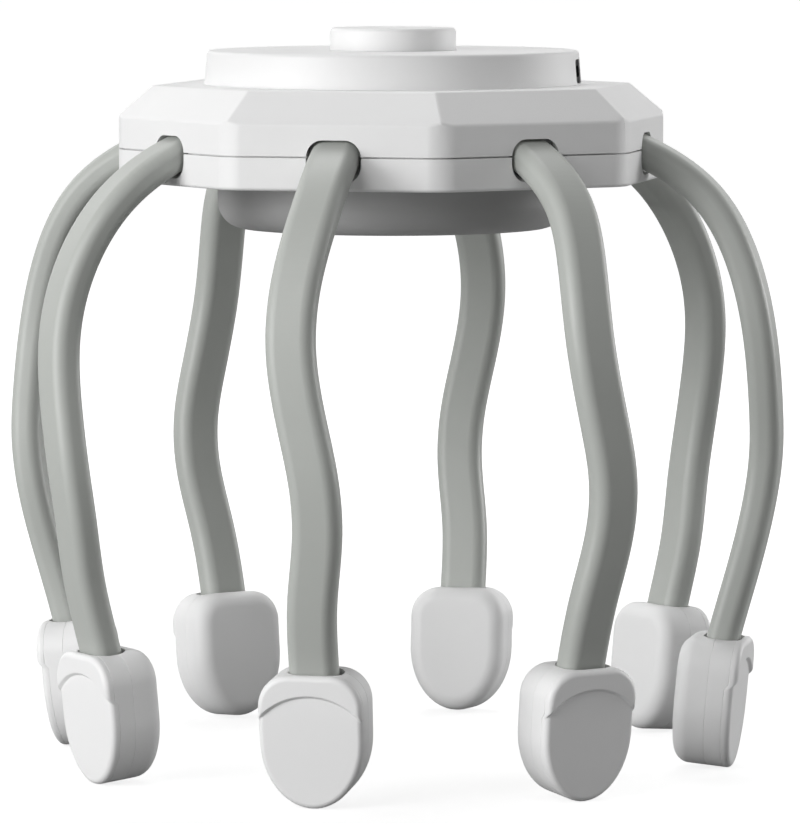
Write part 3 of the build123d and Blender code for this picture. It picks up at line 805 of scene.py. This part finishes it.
# %% Carve the slots and place the pods
POD_LEAN = radians(5.3)
SLOT_GAP = 0.75
SLOT_STEPS = 6
SLOT_REACH = 6.6            # the cutter stands out of the pod
SLOT_BELOW = 6.0            # the carved slot is deeper than the arm's end
SLOT_ASIDE = 0.45           # the arm lies nearer one side of its slot

pod_place = axes_place(pod_top, (1, 0, 0), (0, -sin(POD_LEAN), cos(POD_LEAN)),
                       (0, -cos(POD_LEAN), -sin(POD_LEAN)))


def arm_space(gap, steps, start, length):
    """A straight bar in the arm's section, with a gap all round."""
    return bar(ARM_W + 2 * gap, ARM_T + 2 * gap, ARM_CORNER_R + gap, steps, start, length)


def slot_cutter():
    """The space that an arm takes in its pod."""
    bm = arm_space(SLOT_GAP, SLOT_STEPS, SLOT_BELOW, -SLOT_BELOW - SLOT_REACH)
    bmesh.ops.translate(bm, vec=(SLOT_ASIDE, 0, 0), verts=bm.verts)
    bmesh.ops.transform(bm, matrix=section_place(arm_end, end_direction), verts=bm.verts)
    return bm


for kind, node, whole, finish, slot in (
        ("case", "pod_case", case_of_pod(), pod_white, "white_shell"),
        ("cover", "pod_cover", cover_of_pod(), pod_white, "white_shell"),
        ("pad", "scalp_pad", block(PAD_FACE, SEAM, PAD_ROUND, SEAM_ROUND), pad_white, "white_pad")):
    bmesh.ops.transform(whole, matrix=pod_place, verts=whole.verts)
    slotted = carve(whole, slot_cutter())
    for index in range(ARM_COUNT):
        number = index + 1
        piece = finish_piece(f"pod_{number}_{kind}", slotted, finish, f"{node}_{number}",
                             hub_space @ turned(index))
        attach(piece, f"arm_{number}_and_pod")
    slotted.free()

# %% [markdown]
# ## The hub's outline
# Both shells of the hub start as an octagon whose corners are rounded by a vertex bevel. The eight
# openings for the arms run through both, so one cutter holds all eight: the first is turned about the axis
# to make the others.

# %% Draw the octagon and its openings
HUB_CORNER_R = 8.5
HUB_WALL = 2.0
ARCH_GAP = 0.85
ARCH_STEPS = 8


def everything(bm):
    """All vertices, edges and faces."""
    return list(bm.verts) + list(bm.edges) + list(bm.faces)


def octagon(bm, level):
    """Draw the hub's outline with round corners at a level."""
    radius = HUB_R / cos(pi / ARM_COUNT)
    corners = bmesh.ops.create_circle(bm, cap_ends=True, segments=ARM_COUNT, radius=radius)["verts"]
    bmesh.ops.rotate(bm, cent=(0, 0, 0), matrix=Matrix.Rotation(pi / ARM_COUNT, 3, "Z"), verts=corners)
    bmesh.ops.translate(bm, vec=(0, 0, level), verts=corners)
    round_off(bm, corners, HUB_CORNER_R * tan(pi / ARM_COUNT), CORNER_STEPS, "VERTICES")
    return next(iter(bm.faces))


def arch_cutter():
    """The eight openings through which the arms leave the hub."""
    bm = arm_space(ARCH_GAP, ARCH_STEPS, -ARM_INSIDE, 2 * ARM_INSIDE)
    bmesh.ops.transform(bm, matrix=root_place, verts=bm.verts)
    first = everything(bm)
    for index in range(1, ARM_COUNT):
        copy = bmesh.ops.duplicate(bm, geom=first)["geom"]
        bmesh.ops.transform(bm, matrix=turned(index), verts=pick(copy, bmesh.types.BMVert))
    return bm


print("the hub is", round(2 * HUB_R, 1), "mm across its flats")

# %% [markdown]
# ## Upper shell
# The octagon is pushed up, and eight slanting cuts make the facets of its shoulder: the cuts meet in crisp
# lines while the upright corners stay round, just as on the real one. Then it is hollowed from below. Each
# pushed face stays behind, so thin partitions cross the hollow. They don't show while the hub is closed.

# %% Model the upper shell
WALL_H = 6.9
BEVEL_RUN = 7.8
BEVEL_H = HUB_TOP - WALL_H
EDGE_R = 0.45
EDGE_STEPS = 3
FACET_ANGLE = radians(12)   # edges that bend more than this are rounded


def upper_shell():
    """The shell with the slanting facets."""
    bm = bmesh.new()
    push(bm, octagon(bm, 0), HUB_TOP)
    for index in range(ARM_COUNT):
        outward = turned(index) @ Vector((0, -1, 0))
        cut = bmesh.ops.bisect_plane(bm, geom=everything(bm), clear_outer=True,
                                     plane_co=outward * HUB_R + Vector((0, 0, WALL_H)),
                                     plane_no=outward * BEVEL_H + Vector((0, 0, BEVEL_RUN)))
        bmesh.ops.contextual_create(bm, geom=pick(cut["geom_cut"], bmesh.types.BMEdge))
    shoulder = [edge for edge in bm.edges if all(vert.co.z > WALL_H / 2 for vert in edge.verts)
                and len(edge.link_faces) == 2 and edge.calc_face_angle() > FACET_ANGLE]
    round_off(bm, shoulder, EDGE_R, EDGE_STEPS)
    bottom = min((face for face in bm.faces if len(face.verts) > ARM_COUNT),
                 key=lambda face: face.calc_center_median().z)
    inset(bm, bottom, HUB_WALL)
    ceiling = push(bm, bottom, WALL_H - HUB_WALL)
    ceiling = push(bm, ceiling, BEVEL_H)
    narrowed = 1 - BEVEL_RUN / (HUB_R - HUB_WALL)
    bmesh.ops.scale(bm, vec=(narrowed, narrowed, 1), verts=ceiling.verts)
    return carve(bm, arch_cutter())


place_piece("hub_upper_shell", upper_shell(), shell_white, "upper_housing", "hub")

# %% [markdown]
# ## Lower shell
# The lower shell is a flat tray. A narrow tongue on its rim keeps the two shells a little apart at the
# outside, and that leaves a fine dark line where they meet. Here too the pushed faces stay behind, and
# close the tray like a lid.

# %% Model the lower shell
FLOOR_EDGE_ROUND = (0.8, 4)
LINE_GAP = 0.36             # height of the dark line between the shells
LINE_DEPTH = 1.2


def lower_shell():
    """The tray under the upper shell."""
    bm = bmesh.new()
    floor_face = octagon(bm, HUB_BOTTOM)
    push(bm, floor_face, -HUB_BOTTOM - LINE_GAP)
    round_off(bm, floor_face.edges, *FLOOR_EDGE_ROUND)
    top = max(bm.faces, key=lambda face: face.calc_center_median().z)
    inset(bm, top, LINE_DEPTH)
    top = push(bm, top, LINE_GAP)
    inset(bm, top, HUB_WALL - LINE_DEPTH)
    push(bm, top, HUB_BOTTOM + HUB_WALL)
    return carve(bm, arch_cutter())


place_piece("hub_lower_shell", lower_shell(), shell_white, "lower_housing", "hub")

# %% [markdown]
# ## Where the charging socket sits
# The socket looks out of a window in the side of the drum and leans back with it. One matrix stands a
# drawing there: X runs across the window, Y up along the drum's side, and Z straight out from the hub's
# axis.

# %% Place the window
DRUM_SLOPE = 1 / 14
PORT_BEARING = radians(5.7)
PORT_W = 10.2
PORT_H = 5.5
PORT_CORNER_R = 1.0
PORT_STEPS = 6
PORT_SILL = 0.3
PORT_DEPTH = 4.0

port_height = PORT_SILL + PORT_H / 2
port_centre = Vector((DRUM_R - DRUM_SLOPE * port_height, 0, HUB_TOP + port_height))
port_axes = axes_place((0, 0, 0), (0, 1, 0), (0, 0, 1), (1, 0, 0))
port_tilt = Matrix.Rotation(-atan(DRUM_SLOPE), 4, "Y") @ port_axes
port_place = (Matrix.Rotation(PORT_BEARING, 4, "Z") @ Matrix.Translation(port_centre) @ port_tilt
              @ Matrix.Translation((0, 0, -DRUM_R)))


def window_cutter():
    """The room that the socket takes in the drum's side."""
    bm = bar(PORT_W, PORT_H, PORT_CORNER_R, PORT_STEPS, DRUM_R - 2 * PORT_DEPTH, 3 * PORT_DEPTH)
    bmesh.ops.transform(bm, matrix=port_place, verts=bm.verts)
    return bm


print("the window's middle is", round(port_height, 2), "mm above the hub")

# %% [markdown]
# ## Drum, button and bowl
# These are round, so each is a profile turned about the hub's axis. The corners of the profile are rounded
# by a few extra points worked out along an arc, and those rounds are what catches the light on the real
# pieces.

# %% Turn the drum
DRUM_WALL = 1.8
DRUM_EDGE_R = 0.9
BUTTON_R = 14.3
BUTTON_GAP = 0.3
ARC_STEPS = 8


def arc(centre, radius, start, end):
    """Points of an arc in a profile, from one angle to another in degrees."""
    angles = [radians(start + (end - start) * step / ARC_STEPS) for step in range(ARC_STEPS + 1)]
    return [(centre[0] + radius * cos(angle), centre[1] + radius * sin(angle)) for angle in angles]


def drum():
    """A shallow cup, upside down, with a hole for the button and a window for the socket."""
    bm = bmesh.new()
    top_r = DRUM_R - (DRUM_TOP - HUB_TOP) * DRUM_SLOPE
    hole_r = BUTTON_R + BUTTON_GAP
    lathe(bm, [(DRUM_R - DRUM_WALL, HUB_TOP), (DRUM_R, HUB_TOP),
               *arc((top_r - DRUM_EDGE_R, DRUM_TOP - DRUM_EDGE_R), DRUM_EDGE_R, 0, 90),
               (hole_r, DRUM_TOP), (hole_r, DRUM_TOP - DRUM_WALL),
               (top_r - DRUM_WALL, DRUM_TOP - DRUM_WALL)])
    return carve(bm, window_cutter())


place_piece("drum_cover", drum(), shell_white, "control_drum", "hub")

# %% [markdown]
# The button is a solid disc that reaches well into the drum, so the gap round it looks the same when it is
# pressed. The bowl is a thin shell with a wide round edge, which rests softly on the crown of the head.

# %% Turn the button and the bowl
BUTTON_EDGE_R = 0.9
BUTTON_DEPTH = 3.0
BOWL_EDGE_R = 6.0
BOWL_WALL = 1.8


def button():
    """The push button, as a solid disc."""
    bm = bmesh.new()
    lathe(bm, [(0, DRUM_TOP - BUTTON_DEPTH), (BUTTON_R, DRUM_TOP - BUTTON_DEPTH),
               *arc((BUTTON_R - BUTTON_EDGE_R, BUTTON_TOP - BUTTON_EDGE_R), BUTTON_EDGE_R, 0, 90),
               (0, BUTTON_TOP)])
    return bm


def bowl():
    """The hollow bowl under the hub."""
    bm = bmesh.new()
    edge_centre = (BOWL_R - BOWL_EDGE_R, BOWL_BOTTOM + BOWL_EDGE_R)
    lathe(bm, [(0, BOWL_BOTTOM + BOWL_WALL), (0, BOWL_BOTTOM), *arc(edge_centre, BOWL_EDGE_R, -90, 0),
               (BOWL_R, HUB_BOTTOM), (BOWL_R - BOWL_WALL, HUB_BOTTOM),
               *arc(edge_centre, BOWL_EDGE_R - BOWL_WALL, 0, -90)])
    return bm


place_piece("push_button", button(), shell_white, "power_button", "button")
place_piece("crown_bowl", bowl(), bowl_grey, "crown_pad", "hub")

# %% [markdown]
# ## Charging socket
# The window shows a black plate, set back by six tenths of a millimetre, with an oval mouth. A steel
# sleeve lines the mouth, and a black tongue with gold contacts stands in it. Such a socket is small, but
# it is the one dark mark on a white object, so the eye goes there.

# %% Model the plate and its tongue
PORT_RECESS = 0.6
PORT_PLAY = 0.1             # the plate is this much smaller than its window
MOUTH_W = 8.4
MOUTH_H = 2.6
MOUTH_STEPS = 12
TONGUE_W = 6.7
TONGUE_T = 0.7
TONGUE_CORNER_R = 0.2
TONGUE_STEPS = 3
TONGUE_SETBACK = 1.4        # from the plate's face to the tongue's end
socket_space = hub_space @ port_place


def socket_plate():
    """The black plate with its oval mouth and tongue."""
    back = DRUM_R - PORT_DEPTH - PORT_RECESS
    whole = bar(PORT_W - PORT_PLAY, PORT_H - PORT_PLAY, PORT_CORNER_R - PORT_PLAY / 2, PORT_STEPS,
                back, PORT_DEPTH)
    mouth = bar(MOUTH_W, MOUTH_H, MOUTH_H / 2 - TOUCH, MOUTH_STEPS, DRUM_R - PORT_DEPTH, 2 * PORT_DEPTH)
    plate = carve(whole, mouth)
    tongue = bar(TONGUE_W, TONGUE_T, TONGUE_CORNER_R, TONGUE_STEPS, back, PORT_DEPTH - TONGUE_SETBACK)
    joined = bpy.data.meshes.new("temporary")
    tongue.to_mesh(joined)
    tongue.free()
    plate.from_mesh(joined)
    bpy.data.meshes.remove(joined)
    return plate


place_piece("charging_plate", socket_plate(), socket_black, "charging_socket", "hub",
            socket_space)

# %% [markdown]
# The sleeve is the mouth's outline, inset by its own thickness. The inner face goes, and the rim that is
# left is extruded. The contacts are short strips, side by side on both faces of the tongue.

# %% Model the sleeve and the contacts
SLEEVE_T = 0.25
SLEEVE_END = 1.4            # behind the drum's side
CONTACT_COUNT = 12
CONTACT_T = 0.06
CONTACT_L = 1.6
CONTACT_MIDDLE = 2.4        # behind the plate's face


def sleeve():
    """The thin steel lining of the mouth."""
    bm = bmesh.new()
    outer = rounded_rectangle(bm, MOUTH_W - 2 * TOUCH, MOUTH_H - 2 * TOUCH, MOUTH_H / 2 - 2 * TOUCH,
                              MOUTH_STEPS)
    inset(bm, outer, SLEEVE_T)
    bmesh.ops.delete(bm, geom=[outer], context="FACES_ONLY")
    grown = bmesh.ops.extrude_face_region(bm, geom=list(bm.faces))["geom"]
    bmesh.ops.translate(bm, vec=(0, 0, PORT_DEPTH - SLEEVE_END), verts=pick(grown, bmesh.types.BMVert))
    bmesh.ops.translate(bm, vec=(0, 0, DRUM_R - PORT_DEPTH), verts=bm.verts)
    return bm


def contacts():
    """A row of gold strips on both sides of the tongue."""
    bm = bmesh.new()
    pitch = TONGUE_W / (CONTACT_COUNT + 1)
    for side in (-1, 1):
        for index in range(CONTACT_COUNT):
            strip = bmesh.ops.create_cube(bm, size=1.0)["verts"]
            bmesh.ops.scale(bm, vec=(pitch / 2, CONTACT_T, CONTACT_L), verts=strip)
            across = (index - (CONTACT_COUNT - 1) / 2) * pitch
            outward = DRUM_R - PORT_RECESS - CONTACT_MIDDLE
            bmesh.ops.translate(bm, vec=(across, side * TONGUE_T / 2, outward), verts=strip)
    return bm


place_piece("charging_sleeve", sleeve(), steel, "charging_socket", "hub", socket_space)
place_piece("charging_contacts", contacts(), gold, "charging_socket", "hub", socket_space)

# %% [markdown]
# ## Inside
# The board, the cell, the motors and the rest come straight from the frame. Their shapes are right, so
# they only need a finish in place of the plain one.

# %% Dress what stays from the frame
inner_finishes = {"main_board": board_green, "tact_switch": socket_black, "switch_plunger": socket_black,
                  "battery": foil, "housing_screws": steel, "wiring": lead_red}
for number in range(1, ARM_COUNT + 1):
    inner_finishes[f"pod_motor_{number}"] = steel
    inner_finishes[f"motor_weight_{number}"] = heavy_metal
for node, finish in inner_finishes.items():
    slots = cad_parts[node].data.materials
    for place in range(len(slots)):
        slots[place] = finish
print(len(inner_finishes), "inner nodes dressed")
